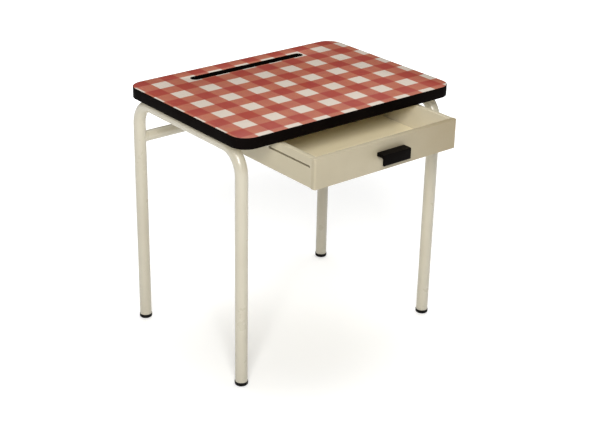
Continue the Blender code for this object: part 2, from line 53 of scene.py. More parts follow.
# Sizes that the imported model's boxes don't give
TOP_CORNER_RADIUS = 38 * MM
BAND_THICKNESS = 1.3 * MM
BAND_ARRIS = 0.9 * MM
LAMINATE_ARRIS = 0.25 * MM
CHECK_REPEAT = 76.45 * MM
CHECK_PHASE_X = 3.086
CHECK_PHASE_Y = 1.847
PRINT_SOFTNESS = 0.35 * MM
GROOVE_LENGTH = 323 * MM
GROOVE_WIDTH = 24.5 * MM
GROOVE_DEPTH = 9 * MM
GROOVE_FROM_BACK = 54 * MM
GROOVE_COVE = 2.5 * MM
GLUE_LINE = 0.1 * MM

TUBE_WALL = 1.5 * MM
BEND_RADIUS = 55 * MM
WELD_LEG = 3.2 * MM

DRAWER_CORNER_RADIUS = 4 * MM
OUTER_ARRIS = 2.6 * MM
INNER_ARRIS = 0.8 * MM
JOINT_ARRIS = 0.3 * MM
SIDE_GROOVE_LOW = 44.2 * MM
SIDE_GROOVE_HEIGHT = 4.4 * MM
SIDE_GROOVE_DEPTH = 7 * MM
SIDE_GROOVE_STOP = 16 * MM
LACQUERED_JOINT = 0.04 * MM

PULL_PLATE = 8 * MM
PULL_LIP = 5 * MM
PULL_CORNER = 1.2 * MM
PULL_ARRIS = 1.2 * MM
PULL_HOLLOW = 4.5 * MM

STEEL_GAUGE = 2 * MM
RUNNER_NOSE = 19 * MM
RUNNER_WEB = 204 * MM
RUNNER_FOLD = 2 * MM
BEAD_RIPPLES = 18
BEAD_TIP = 0.3 * MM
SCREW_HEAD_RADIUS = 3.8 * MM
SCREW_SHANK_RADIUS = 1.9 * MM
SCREW_BORE_RADIUS = 2.2 * MM
SCREW_HEAD_HEIGHT = 2.4 * MM
THREAD_PITCH = 1.5 * MM
THREAD_DEPTH = 0.45 * MM
SHORT_SCREW = 16 * MM
LONG_SCREW = 20 * MM

# A wave texture of scale 1 repeats every tenth of pi
WAVE_REPEAT = math.pi / 10

TUBE_SIDES = 48
BEND_STEPS = 20
TURNED_STEPS = 48
SCREW_STEPS = 24

SIDES = {"left": -1, "right": 1}
ENDS = ("front", "back")
RUNNER_SCREWS = ("front", "middle", "back")

# Studio, in metres. The floor glows by the first amount near the desk and by the second further off
WORLD_STRENGTH = 0.04
FLOOR_HALF_SIZE = 150.0
FLOOR_GLOW = (0.3, 0.85)
FLOOR_GLOW_REACH = (0.8, 2.2)
LIGHT_TARGET = (0.0, 0.0, 0.4)

# Softboxes: name, place, width and watts
LIGHTS = (
    ("key_softbox", (-2.6, -3.1, 3.34), 2.0, 230.0),
    ("side_softbox", (-4.183, -1.121, 2.9), 2.0, 12.0),
    ("overhead_softbox", (0.6, 0.6, 4.0), 3.0, 135.0),
)

# The camera stands this far from the floor under the tabletop's middle. Its angles are in degrees,
# and its lens is in millimetres
LENS = 77.64
CAMERA_PLACE = (-1.7438, -2.1555, 1.5370)
CAMERA_HEADING = -39.507
CAMERA_DOWN = 24.489
CAMERA_ROLL = 1.2267


# Making shapes


def edges_of(items):
    return [item for item in items if isinstance(item, bmesh.types.BMEdge)]


def verts_of(items):
    return [item for item in items if isinstance(item, bmesh.types.BMVert)]


def centre(box):
    return (box[0] + box[1]) / 2


def flat_outline(bm, low, high, radius, steps=16, keep_square=None):
    """The edges of a flat rectangle between two (x, y) corners, at z = 0, with its corners rounded."""
    before = set(bm.faces)
    corners = bmesh.ops.create_grid(bm, x_segments=1, y_segments=1, size=0.5)["verts"]
    size = Vector((high[0] - low[0], high[1] - low[1], 1.0))
    middle = Vector(((low[0] + high[0]) / 2, (low[1] + high[1]) / 2, 0.0))
    bmesh.ops.scale(bm, vec=size, verts=corners)
    bmesh.ops.translate(bm, vec=middle, verts=corners)
    rounded = [vert for vert in corners if keep_square is None or not keep_square(vert.co)]
    bmesh.ops.bevel(
        bm,
        geom=rounded,
        offset=radius,
        offset_type="OFFSET",
        segments=steps,
        profile=0.5,
        affect="VERTICES",
        material=-1,
    )
    face = next(face for face in bm.faces if face not in before)
    edges = list(face.edges)
    bmesh.ops.delete(bm, geom=[face], context="FACES_ONLY")
    return edges


def round_outline(bm, middle, radius, steps=SCREW_STEPS):
    """The edges of a flat circle at z = 0."""
    made = bmesh.ops.create_circle(bm, segments=steps, radius=radius)["verts"]
    bmesh.ops.translate(bm, vec=(middle[0], middle[1], 0.0), verts=made)
    return list({edge for vert in made for edge in vert.link_edges})


def fill_flat(bm, edges):
    return bmesh.ops.triangle_fill(bm, use_beauty=True, edges=edges, normal=(0, 0, 1))


def thicken(bm, height):
    """Draws every flat face up into a solid."""
    drawn = bmesh.ops.extrude_face_region(bm, geom=list(bm.faces))["geom"]
    bmesh.ops.translate(bm, vec=(0, 0, height), verts=verts_of(drawn))
    bmesh.ops.recalc_face_normals(bm, faces=bm.faces)


def draw_edges(bm, edges, shift):
    """Draws a wall from these edges, and gives the edges at its far side."""
    drawn = bmesh.ops.extrude_edge_only(bm, edges=edges)["geom"]
    bmesh.ops.translate(bm, vec=shift, verts=verts_of(drawn))
    return edges_of(drawn)


def turn_edges(bm, edges, middle, axis, degrees, steps):
    """Draws a wall round a bend from these edges, and gives the edges at its far side."""
    turned = bmesh.ops.spin(
        bm,
        geom=edges,
        cent=middle,
        axis=axis,
        angle=math.radians(degrees),
        steps=steps,
        use_duplicate=False,
    )["geom_last"]
    return edges_of(turned)


def sharp_edges(bm, wanted, least=50):
    """The edges that turn by more than this many degrees, and whose two ends are wanted."""
    found = []
    for edge in bm.edges:
        if len(edge.link_faces) != 2 or edge.calc_face_angle(0.0) < math.radians(least):
            continue
        if all(wanted(vert.co) for vert in edge.verts):
            found.append(edge)
    return found


def round_over(bm, edges, radius, steps=3):
    bmesh.ops.bevel(
        bm,
        geom=edges,
        offset=radius,
        offset_type="OFFSET",
        segments=steps,
        profile=0.5,
        affect="EDGES",
        clamp_overlap=True,
        material=-1,
    )


def cuboid(low, high):
    low, high = Vector(low), Vector(high)
    bm = bmesh.new()
    bmesh.ops.create_cube(bm, size=1.0)
    bmesh.ops.scale(bm, vec=high - low, verts=bm.verts)
    bmesh.ops.translate(bm, vec=(low + high) / 2, verts=bm.verts)
    return bm


def turned_body(profile, steps=TURNED_STEPS):
    """A body turned on the Z axis from a profile of (radius, height) that starts and ends on it."""
    bm = bmesh.new()
    verts = [bm.verts.new((radius, 0.0, height)) for radius, height in profile]
    edges = [bm.edges.new(pair) for pair in zip(verts, verts[1:])]
    bmesh.ops.spin(
        bm,
        geom=edges,
        cent=(0, 0, 0),
        axis=(0, 0, 1),
        angle=math.tau,
        steps=steps,
        use_merge=True,
        use_duplicate=False,
    )
    bmesh.ops.remove_doubles(bm, verts=bm.verts, dist=0.001 * MM)
    bmesh.ops.recalc_face_normals(bm, faces=bm.faces)
    return bm


def copy_in(bm, mesh, place):
    """Adds a placed copy of a mesh to this one."""
    before = set(bm.verts)
    bm.from_mesh(mesh)
    bmesh.ops.transform(bm, matrix=place, verts=[vert for vert in bm.verts if vert not in before])


def finish_piece(name, bm, body, material):
    """Makes the piece that stands for the node of its own name."""
    mesh = bpy.data.meshes.new(name)
    bm.edges.index_update()
    rims = [edge.index for edge in bm.edges if edge.is_boundary]
    bm.to_mesh(mesh)
    bm.free()
    mesh.shade_smooth()
    mesh.set_sharp_from_angle(angle=math.radians(32))
    for index in rims:
        mesh.edges[index].use_edge_sharp = True
    piece = bpy.data.objects.new(f"{name}_finish", mesh)
    bpy.context.scene.collection.objects.link(piece)
    mesh.materials.append(material)
    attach(piece, body)
    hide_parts(name)
    return piece


def carve(bm, cutters):
    """Cuts each of these shapes out of a shape, and gives the result."""
    holders = []
    for shape in (bm, *cutters):
        mesh = bpy.data.meshes.new("blank")
        shape.to_mesh(mesh)
        shape.free()
        holder = bpy.data.objects.new("blank", mesh)
        bpy.context.scene.collection.objects.link(holder)
        holders.append(holder)
    for tool in holders[1:]:
        cut = holders[0].modifiers.new("cut", "BOOLEAN")
        cut.operation = "DIFFERENCE"
        cut.object = tool
    graph = bpy.context.evaluated_depsgraph_get()
    carved = bpy.data.meshes.new_from_object(holders[0].evaluated_get(graph))
    result = bmesh.new()
    result.from_mesh(carved)
    for holder in holders:
        bpy.data.objects.remove(holder)
    return result


def bore(start, end, radius, steps=SCREW_STEPS):
    """A round cutter between two points."""
    start, end = Vector(start), Vector(end)
    turn = Vector((0, 0, 1)).rotation_difference(end - start).to_matrix().to_4x4()
    bm = bmesh.new()
    bmesh.ops.create_cone(
        bm,
        cap_ends=True,
        segments=steps,
        radius1=radius,
        radius2=radius,
        depth=(end - start).length,
        matrix=Matrix.Translation((start + end) / 2) @ turn,
    )
    return bm


# Materials


def linear(code):
    """The linear colour of an sRGB hex code."""
    channels = [int(code[i : i + 2], 16) / 255 for i in (1, 3, 5)]
    return (*[c / 12.92 if c <= 0.04045 else ((c + 0.055) / 1.055) ** 2.4 for c in channels], 1.0)


def add(tree, kind, inputs=None, **settings):
    """Adds one node with its settings. An input takes a value, or another node's output."""
    made = tree.nodes.new(f"ShaderNode{kind}")
    for name, value in settings.items():
        setattr(made, name, value)
    for name, value in (inputs or {}).items():
        if isinstance(value, bpy.types.NodeSocket):
            tree.links.new(value, made.inputs[name])
        else:
            made.inputs[name].default_value = value
    return made.outputs


def new_surface(name, roughness, metallic=0.0, shine=0.5, coat=0.0, coat_roughness=0.1):
    """A material, its tree, its shader and the coordinates its patterns are drawn on."""
    material = bpy.data.materials.new(name)
    material.use_nodes = True
    tree = material.node_tree
    shader = tree.nodes["Principled BSDF"]
    shader.inputs["Roughness"].default_value = roughness
    shader.inputs["Metallic"].default_value = metallic
    shader.inputs["Specular IOR Level"].default_value = shine
    shader.inputs["Coat Weight"].default_value = coat
    shader.inputs["Coat Roughness"].default_value = coat_roughness
    place = add(tree, "TexCoord")["Object"]
    return material, tree, shader, place


def cloudy(tree, place, size, low, high, detail=3.0):
    """A soft random value between low and high, in patches of about this size."""
    noise = add(tree, "TexNoise", {"Vector": place, "Scale": 1 / size, "Detail": detail})
    ranged = {"Value": noise["Fac"], "From Min": 0.3, "From Max": 0.7, "To Min": low, "To Max": high}
    return add(tree, "MapRange", ranged)["Result"]


def edge_wear_and_highlight(tree, width, least=0.04, most=0.25):
    """How near each point is to an edge: 0 on a flat and up to 1 on an edge, for a band of this width.
    It places real edge wear, and on the lacquer a painted highlight as well.
    """
    rounded = add(tree, "Bevel", {"Radius": width}, samples=6)["Normal"]
    flat = add(tree, "NewGeometry")["Normal"]
    lean = add(tree, "VectorMath", {0: rounded, 1: flat}, operation="DOT_PRODUCT")["Value"]
    turned = {"Value": lean, "From Min": 1 - least, "From Max": 1 - most, "To Min": 0.0, "To Max": 1.0}
    return add(tree, "MapRange", turned)["Result"]


def mottled(tree, place, size, first, second, most=1.0, detail=3.0):
    """A colour that wanders from one tone towards another, in patches of about this size."""
    amount = cloudy(tree, place, size, 0.0, most, detail)
    tones = {0: amount, 6: linear(first), 7: linear(second)}
    return add(tree, "Mix", tones, data_type="RGBA")[2]


def wear_and_highlight_tone(tree, place, tone, edge_tone, worn, patch, low, high):
    """A tone turned to another along a mask, in broken patches of about this size: rubbed-through wear,
    and on the lacquer a painted highlight as well.
    """
    patchy = cloudy(tree, place, patch, low, high, 5.0)
    amount = add(tree, "Math", {0: worn, 1: patchy}, operation="MULTIPLY", use_clamp=True)[0]
    return add(tree, "Mix", {0: amount, 6: tone, 7: linear(edge_tone)}, data_type="RGBA")[2]


def link(tree, value, shader, socket):
    tree.links.new(value, shader.inputs[socket])


def grainy(tree, shader, place, size, depth, strength, detail, before=None):
    """Raises the surface in random grains of about this size, over an earlier relief if there is one."""
    grain = add(tree, "TexNoise", {"Vector": place, "Scale": 1 / size, "Detail": detail})["Fac"]
    relief = {"Height": grain, "Distance": depth, "Strength": strength}
    if before:
        relief["Normal"] = before
    normal = add(tree, "Bump", relief)["Normal"]
    link(tree, normal, shader, "Normal")
    return normal


def stripes(tree, along, phase):
    """1 on the red half of each repeat and 0 on the white half."""
    counted = add(tree, "Math", {0: along, 1: 1 / CHECK_REPEAT}, operation="MULTIPLY")[0]
    shifted = add(tree, "Math", {0: counted, 1: phase}, operation="ADD")[0]
    from_white = add(tree, "Math", {0: shifted, 1: 0.5}, operation="PINGPONG")[0]
    edge = PRINT_SOFTNESS / CHECK_REPEAT
    ranged = {"Value": from_white, "From Min": 0.25 - edge, "From Max": 0.25 + edge}
    return add(tree, "MapRange", ranged, interpolation_type="SMOOTHSTEP")["Result"]


def wandering(tree, place):
    """These coordinates, pushed about by up to a quarter of a millimetre, as a print's edge is."""
    noise = add(tree, "TexNoise", {"Vector": place, "Scale": 1 / (6 * MM), "Detail": 2.0})["Color"]
    either_way = add(tree, "VectorMath", {0: noise, 1: (-0.5, -0.5, -0.5)}, operation="ADD")[0]
    small = add(tree, "VectorMath", {0: either_way, "Scale": 0.5 * MM}, operation="SCALE")[0]
    return add(tree, "VectorMath", {0: place, 1: small}, operation="ADD")[0]


def gingham_laminate():
    """High-pressure laminate: a printed gingham under clear melamine, on brown kraft paper.

    The print shows its threads in the mid squares. The clear skin has a soft satin gloss, and the
    cut edges show the dark paper.
    """
    material, tree, shader, place = new_surface("gingham_high_pressure_laminate", 0.42)
    top = centre(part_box("tabletop_laminate"))
    centred = add(tree, "Mapping", {"Vector": place, "Location": (0.0, -top.y, 0.0)})["Vector"]
    drawn = wandering(tree, centred)
    axes = add(tree, "SeparateXYZ", {"Vector": drawn})
    red_x = stripes(tree, axes["X"], CHECK_PHASE_X)
    red_y = stripes(tree, axes["Y"], CHECK_PHASE_Y)
    both = add(tree, "Math", {0: red_x, 1: red_y}, operation="MULTIPLY")[0]
    either = add(tree, "Math", {0: red_x, 1: red_y}, operation="MAXIMUM")[0]

    # The real threads are about 0.5 mm apart, too fine to show, so they are drawn 1.6 mm apart
    spun = {"Vector": drawn, "Scale": WAVE_REPEAT / (1.6 * MM), "Distortion": 0.3, "Detail": 1.0}
    thread_x = add(tree, "TexWave", spun, bands_direction="X")["Fac"]
    thread_y = add(tree, "TexWave", spun, bands_direction="Y")["Fac"]
    across = add(tree, "Mix", {0: red_x, 2: thread_y, 3: thread_x}, data_type="FLOAT")[0]
    threaded = {"Value": across, "To Min": 0.86, "To Max": 1.1}
    shade = add(tree, "MapRange", threaded)["Result"]
    weave = add(tree, "CombineColor", {0: shade, 1: shade, 2: shade})[0]

    white = mottled(tree, centred, 40 * MM, "#BCB0A3", "#B6AB9F", most=0.5)
    mid = mottled(tree, centred, 25 * MM, "#A05E45", "#9B5443")
    deep = mottled(tree, centred, 25 * MM, "#913827", "#8B3229")
    woven = add(tree, "Mix", {0: 1.0, 6: mid, 7: weave}, data_type="RGBA", blend_type="MULTIPLY")[2]
    checks = add(tree, "Mix", {0: either, 6: white, 7: woven}, data_type="RGBA")[2]
    checks = add(tree, "Mix", {0: both, 6: checks, 7: deep}, data_type="RGBA")[2]

    facing = add(tree, "SeparateXYZ", {"Vector": add(tree, "NewGeometry")["True Normal"]})["Z"]
    cut_edge = add(tree, "MapRange", {"Value": facing, "From Min": 0.5, "From Max": 0.3})["Result"]
    sheet = {0: cut_edge, 6: checks, 7: linear("#1C120C")}
    link(tree, add(tree, "Mix", sheet, data_type="RGBA")[2], shader, "Base Color")
    link(tree, cloudy(tree, centred, 90 * MM, 0.36, 0.5, 4.0), shader, "Roughness")
    grainy(tree, shader, centred, 1.2 * MM, 0.03 * MM, 0.6, detail=2.0)
    return material


def black_fibreboard():
    """Fibreboard routed and then painted black: a matt wall with the fine fuzz of cut fibres."""
    material, tree, shader, place = new_surface("routed_painted_fibreboard", 0.75, shine=0.02)
    tone = mottled(tree, place, 12 * MM, "#080504", "#0D0907", most=0.5, detail=4.0)
    link(tree, tone, shader, "Base Color")
    link(tree, cloudy(tree, place, 5 * MM, 0.65, 0.85), shader, "Roughness")
    grainy(tree, shader, place, 0.8 * MM, 0.08 * MM, 0.8, detail=4.0)
    return material


def black_edging():
    """Extruded ABS edge band: black, dull, with faint draw lines round it and greyed arrises."""
    material, tree, shader, place = new_surface("extruded_abs_edge_band", 0.6, shine=0.015)
    tone = mottled(tree, place, 60 * MM, "#080504", "#0D0908")
    worn = edge_wear_and_highlight(tree, 1.2 * MM)
    tone = wear_and_highlight_tone(tree, place, tone, "#1C1815", worn, 8 * MM, 0.0, 0.5)
    link(tree, tone, shader, "Base Color")
    link(tree, cloudy(tree, place, 30 * MM, 0.52, 0.7), shader, "Roughness")
    drawn = {"Vector": place, "Scale": WAVE_REPEAT / (1.1 * MM), "Distortion": 0.5}
    lines = add(tree, "TexWave", drawn, bands_direction="Z")["Fac"]
    relief = {"Height": lines, "Distance": 0.02 * MM, "Strength": 0.6}
    link(tree, add(tree, "Bump", relief)["Normal"], shader, "Normal")
    return material


def backing_laminate():
    """Balancing laminate: plain off-white melamine paper, matt, with faint press marks."""
    material, tree, shader, place = new_surface("balancing_laminate", 0.6)
    tone = mottled(tree, place, 70 * MM, "#DAD4C6", "#CFC8B8", detail=4.0)
    link(tree, tone, shader, "Base Color")
    link(tree, cloudy(tree, place, 20 * MM, 0.5, 0.7), shader, "Roughness")
    grainy(tree, shader, place, 1.5 * MM, 0.04 * MM, 0.7, detail=3.0)
    return material


def powder_coat(name, knocked_to=None):
    """Baked polyester powder coat on steel: cream, glossy, with orange peel a few mm across.

    It is rubbed a little darker on edges or, on a tube, up to this height from the floor.
    """
    material, tree, shader, place = new_surface(name, 0.3, coat=0.35, coat_roughness=0.12)
    tone = mottled(tree, place, 80 * MM, "#B3AD9B", "#AFA896")
    if knocked_to:
        height = add(tree, "SeparateXYZ", {"Vector": place})["Z"]
        low = {"Value": height, "From Min": knocked_to, "From Max": knocked_to / 4}
        worn = add(tree, "MapRange", low, interpolation_type="SMOOTHSTEP")["Result"]
    else:
        worn = edge_wear_and_highlight(tree, 0.8 * MM, 0.15, 0.4)
    tone = wear_and_highlight_tone(tree, place, tone, "#918A7A", worn, 6 * MM, -0.4, 0.5)
    link(tree, tone, shader, "Base Color")
    link(tree, cloudy(tree, place, 30 * MM, 0.26, 0.38), shader, "Roughness")
    peel = grainy(tree, shader, place, 3.0 * MM, 0.06 * MM, 0.5, detail=1.0)
    grainy(tree, shader, place, 0.7 * MM, 0.01 * MM, 0.4, detail=2.0, before=peel)
    return material


def facing_inward(tree, place):
    """1 on the faces that look into the drawer and 0 on the others: where the painted light inside the
    drawer goes.
    """
    middle = (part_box("drawer_front")[0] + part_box("drawer_back")[1]) / 2
    outward = add(tree, "VectorMath", {0: place, 1: (0.0, middle.y, 0.0)}, operation="SUBTRACT")[0]
    level = add(tree, "VectorMath", {0: outward, 1: (1.0, 1.0, 0.0)}, operation="MULTIPLY")[0]
    normal = add(tree, "NewGeometry")["True Normal"]
    lean = add(tree, "VectorMath", {0: normal, 1: level}, operation="DOT_PRODUCT")["Value"]
    return add(tree, "MapRange", {"Value": lean, "From Min": -0.02, "From Max": -0.05})["Result"]


def painted_shade_towards_right(tree, place, tone):
    """This tone, darker and browner towards the drawer's right: painted shade, where the light falls off
    across the front.
    """
    along = add(tree, "SeparateXYZ", {"Vector": place})["X"]
    reach = {"Value": along, "From Min": -0.05, "From Max": 0.2, "To Min": 0.0, "To Max": 0.8}
    amount = add(tree, "MapRange", reach, interpolation_type="SMOOTHSTEP")["Result"]
    return add(tree, "Mix", {0: amount, 6: tone, 7: linear("#8F8163")}, data_type="RGBA")[2]


def cream_lacquer(name, first, second, painted_shade_right=False):
    """Sprayed satin lacquer on wooden board: cream, with the grain just telegraphing through.

    The faces inside the drawer are painted paler: painted light, standing in for the light that reaches
    inside the drawer.
    """
    material, tree, shader, place = new_surface(name, 0.42)
    tone = mottled(tree, place, 90 * MM, first, second)
    # Painted light: the faces inside the drawer are made paler, as if more light reached them.
    painted_inner_light = {0: facing_inward(tree, place), 6: tone, 7: linear("#C8BFA8")}
    tone = add(tree, "Mix", painted_inner_light, data_type="RGBA")[2]
    # Painted shade: the front darkens towards its right, as the light falls off.
    if painted_shade_right:
        tone = painted_shade_towards_right(tree, place, tone)
    # Painted highlight with rubbed-through wear: the lacquer's edges and rounded corners are made paler.
    tone = wear_and_highlight_tone(tree, place, tone, "#D9D0BC", edge_wear_and_highlight(tree, 1.0 * MM), 7 * MM, -0.3, 0.7)
    link(tree, tone, shader, "Base Color")
    link(tree, cloudy(tree, place, 25 * MM, 0.36, 0.5), shader, "Roughness")
    stretched = add(tree, "Mapping", {"Vector": place, "Scale": (1.0, 0.12, 1.0)})["Vector"]
    grain = grainy(tree, shader, stretched, 1.6 * MM, 0.03 * MM, 0.5, detail=4.0)
    grainy(tree, shader, place, 2.5 * MM, 0.03 * MM, 0.5, detail=1.0, before=grain)
    return material


def moulded_black(name, roughness, shine, code, scuffed):
    """Injection-moulded black plastic with a fine spark-eroded texture and scuffed edges."""
    material, tree, shader, place = new_surface(name, roughness, shine=shine)
    tone = mottled(tree, place, 15 * MM, code, "#080605")
    tone = wear_and_highlight_tone(tree, place, tone, scuffed, edge_wear_and_highlight(tree, 0.8 * MM), 3 * MM, 0.0, 0.7)
    link(tree, tone, shader, "Base Color")
    link(tree, cloudy(tree, place, 6 * MM, roughness - 0.07, roughness + 0.08), shader, "Roughness")
    grainy(tree, shader, place, 0.6 * MM, 0.03 * MM, 0.6, detail=3.0)
    return material


def zinc_plate():
    """Bright zinc plate on steel: blue-grey metal with fine turning marks and duller patches."""
    material, tree, shader, place = new_surface("bright_zinc_plate", 0.32, metallic=1.0)
    tone = mottled(tree, place, 4 * MM, "#C4C6C8", "#A3A39F", detail=4.0)
    link(tree, tone, shader, "Base Color")
    link(tree, cloudy(tree, place, 2 * MM, 0.24, 0.45), shader, "Roughness")
    grainy(tree, shader, place, 0.3 * MM, 0.01 * MM, 0.5, detail=3.0)
    return material


def bare_beech():
    """Beech rod, cut and unfinished: pale tan, with short darker flecks along the rod."""
    material, tree, shader, place = new_surface("turned_beech", 0.6)
    stretched = add(tree, "Mapping", {"Vector": place, "Scale": (1.0, 0.15, 1.0)})["Vector"]
    flecks = cloudy(tree, stretched, 0.8 * MM, 0.0, 1.0, 4.0)
    flecked = {0: flecks, 6: linear("#D2B184"), 7: linear("#B68E5E")}
    link(tree, add(tree, "Mix", flecked, data_type="RGBA")[2], shader, "Base Color")
    link(tree, cloudy(tree, place, 3 * MM, 0.5, 0.7), shader, "Roughness")
    relief = {"Height": flecks, "Distance": 0.04 * MM, "Strength": 0.6}
    link(tree, add(tree, "Bump", relief)["Normal"], shader, "Normal")
    return material


def studio_floor():
    """Seamless white background paper: matt, with almost no tone of its own, glowing a little."""
    material, tree, shader, place = new_surface("seamless_background_paper", 0.9, shine=0.1)
    tone = mottled(tree, place, 0.5, "#E9E9E8", "#E6E6E5")
    link(tree, tone, shader, "Base Color")
    shader.inputs["Emission Color"].default_value = linear("#FFFFFF")
    away = add(tree, "VectorMath", {0: place}, operation="LENGTH")["Value"]
    glow = {"Value": away}
    glow["From Min"], glow["From Max"] = FLOOR_GLOW_REACH
    glow["To Min"], glow["To Max"] = FLOOR_GLOW
    lit = add(tree, "MapRange", glow, interpolation_type="SMOOTHSTEP")["Result"]
    link(tree, lit, shader, "Emission Strength")
    return material


gingham = gingham_laminate()
fibreboard = black_fibreboard()
edging = black_edging()
backing = backing_laminate()
coated = powder_coat("baked_cream_powder_coat")
coated_tube = powder_coat("baked_cream_powder_coat_on_tube", 40 * MM)
lacquered = cream_lacquer("sprayed_satin_lacquer", "#ADA48C", "#A89F87")
# The front's lacquer carries painted shade, darker towards its right.
right_shaded_front_lacquer = cream_lacquer("satin_lacquer_shaded_right", "#A59B83", "#A0967E", painted_shade_right=True)
# The floor panel's lacquer is much paler than the rest: painted light, standing in for light bounced
# round inside the drawer.
panel = cream_lacquer("lacquered_hardboard_painted_light", "#ECE1C2", "#E7DCBB")
rubber = moulded_black("moulded_rubber_cap", 0.5, 0.1, "#0C0A09", "#1A1716")
plastic = moulded_black("moulded_black_nylon", 0.42, 0.02, "#070504", "#15110F")
zinc = zinc_plate()
beech = bare_beech()


# Tabletop

band_low, band_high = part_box("edge_band")
core_low, core_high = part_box("tabletop_core")
laminate_low, laminate_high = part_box("tabletop_laminate")
backing_low, backing_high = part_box("tabletop_backing")
groove_middle = band_high.y - GROOVE_FROM_BACK
groove_low = (-GROOVE_LENGTH / 2, groove_middle - GROOVE_WIDTH / 2)
groove_high = (GROOVE_LENGTH / 2, groove_middle + GROOVE_WIDTH / 2)
groove_radius = GROOVE_WIDTH / 2 * 0.9999
core_radius = TOP_CORNER_RADIUS - BAND_THICKNESS - GLUE_LINE


def make_laminate():
    """The printed sheet, with a long round-ended opening over the pen groove."""
    bm = bmesh.new()
    edges = flat_outline(bm, laminate_low, laminate_high, core_radius, 24)
    edges += flat_outline(bm, groove_low, groove_high, groove_radius, 16)
    fill_flat(bm, edges)
    thicken(bm, laminate_high.z - laminate_low.z)
    bmesh.ops.translate(bm, vec=(0, 0, laminate_low.z), verts=bm.verts)
    upper = sharp_edges(bm, lambda co: co.z > laminate_high.z - 0.1 * MM)
    round_over(bm, upper, LAMINATE_ARRIS, 2)
    finish_piece("tabletop_laminate", bm, "desk", gingham)


def make_core():
    """The board, with the pen groove routed in it: upright walls and a cove round its floor."""
    bm = bmesh.new()
    outer = flat_outline(bm, core_low, core_high, core_radius, 24)
    groove = flat_outline(bm, groove_low, groove_high, groove_radius, 16)
    fill_flat(bm, outer + groove)
    bmesh.ops.translate(bm, vec=(0, 0, core_high.z), verts=bm.verts)
    floor_z = laminate_high.z - GROOVE_DEPTH
    floor = draw_edges(bm, groove, (0, 0, floor_z - core_high.z))
    bmesh.ops.contextual_create(bm, geom=floor)
    base = draw_edges(bm, outer, (0, 0, core_low.z - core_high.z))
    bmesh.ops.contextual_create(bm, geom=base)
    bmesh.ops.recalc_face_normals(bm, faces=bm.faces)
    cove = sharp_edges(bm, lambda co: abs(co.z - floor_z) < 0.1 * MM)
    round_over(bm, cove, GROOVE_COVE, 5)
    finish_piece("tabletop_core", bm, "desk", fibreboard)


def make_edge_band():
    bm = bmesh.new()
    inset = Vector((BAND_THICKNESS, BAND_THICKNESS, 0.0))
    edges = flat_outline(bm, band_low, band_high, TOP_CORNER_RADIUS, 24)
    inner_radius = TOP_CORNER_RADIUS - BAND_THICKNESS
    edges += flat_outline(bm, band_low + inset, band_high - inset, inner_radius, 24)
    fill_flat(bm, edges)
    thicken(bm, band_high.z - band_low.z)
    bmesh.ops.translate(bm, vec=(0, 0, band_low.z), verts=bm.verts)
    middle = centre((band_low, band_high))
    straight = Vector((band_high.x - TOP_CORNER_RADIUS, band_high.y - middle.y - TOP_CORNER_RADIUS))

    def outside(co):
        """On the outer wall: past the midline of the band, measured from its corner's centre."""
        away = Vector((abs(co.x), abs(co.y - middle.y))) - straight
        reach = Vector((max(away.x, 0.0), max(away.y, 0.0))).length
        return reach > TOP_CORNER_RADIUS - BAND_THICKNESS / 2

    round_over(bm, sharp_edges(bm, outside), BAND_ARRIS, 3)
    finish_piece("edge_band", bm, "desk", edging)


def screw_places():
    """The (x, y) of every screw up into the top."""
    names = [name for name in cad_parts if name.startswith(("tab_screw", "runner_screw"))]
    return [centre(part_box(name)).xy for name in sorted(names)]


def make_backing():
    bm = bmesh.new()
    edges = flat_outline(bm, backing_low, backing_high, core_radius, 24)
    for place in screw_places():
        edges += round_outline(bm, place, SCREW_BORE_RADIUS)
    fill_flat(bm, edges)
    thicken(bm, backing_high.z - backing_low.z)
    bmesh.ops.translate(bm, vec=(0, 0, backing_low.z), verts=bm.verts)
    finish_piece("tabletop_backing", bm, "desk", backing)


# Steel frame


def make_side_frame(side):
    """One tube: up the front leg, over a bend, along under the top, over a bend and down."""
    low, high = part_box(f"side_frame_{side}")
    front = centre(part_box(f"foot_cap_front_{side}"))
    back = centre(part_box(f"foot_cap_back_{side}"))
    radius = (high.x - low.x) / 2
    shoulder = high.z - radius - BEND_RADIUS
    bm = bmesh.new()
    ring = bmesh.ops.create_circle(bm, segments=TUBE_SIDES, radius=radius)["verts"]
    bmesh.ops.translate(bm, vec=(front.x, front.y, low.z), verts=ring)
    end = list(bm.edges)
    end = draw_edges(bm, end, (0, 0, shoulder - low.z))
    first_bend = (front.x, front.y + BEND_RADIUS, shoulder)
    end = turn_edges(bm, end, first_bend, (1, 0, 0), -90, BEND_STEPS)
    end = draw_edges(bm, end, (0, back.y - front.y - 2 * BEND_RADIUS, 0))
    second_bend = (back.x, back.y - BEND_RADIUS, shoulder)
    end = turn_edges(bm, end, second_bend, (1, 0, 0), -90, BEND_STEPS)
    draw_edges(bm, end, (0, 0, low.z - shoulder))
    bmesh.ops.remove_doubles(bm, verts=bm.verts, dist=0.001 * MM)
    bmesh.ops.recalc_face_normals(bm, faces=bm.faces)
    piece = finish_piece(f"side_frame_{side}", bm, "desk", coated_tube)
    wall = piece.modifiers.new("wall", "SOLIDIFY")
    wall.thickness = TUBE_WALL
    wall.offset = -1.0


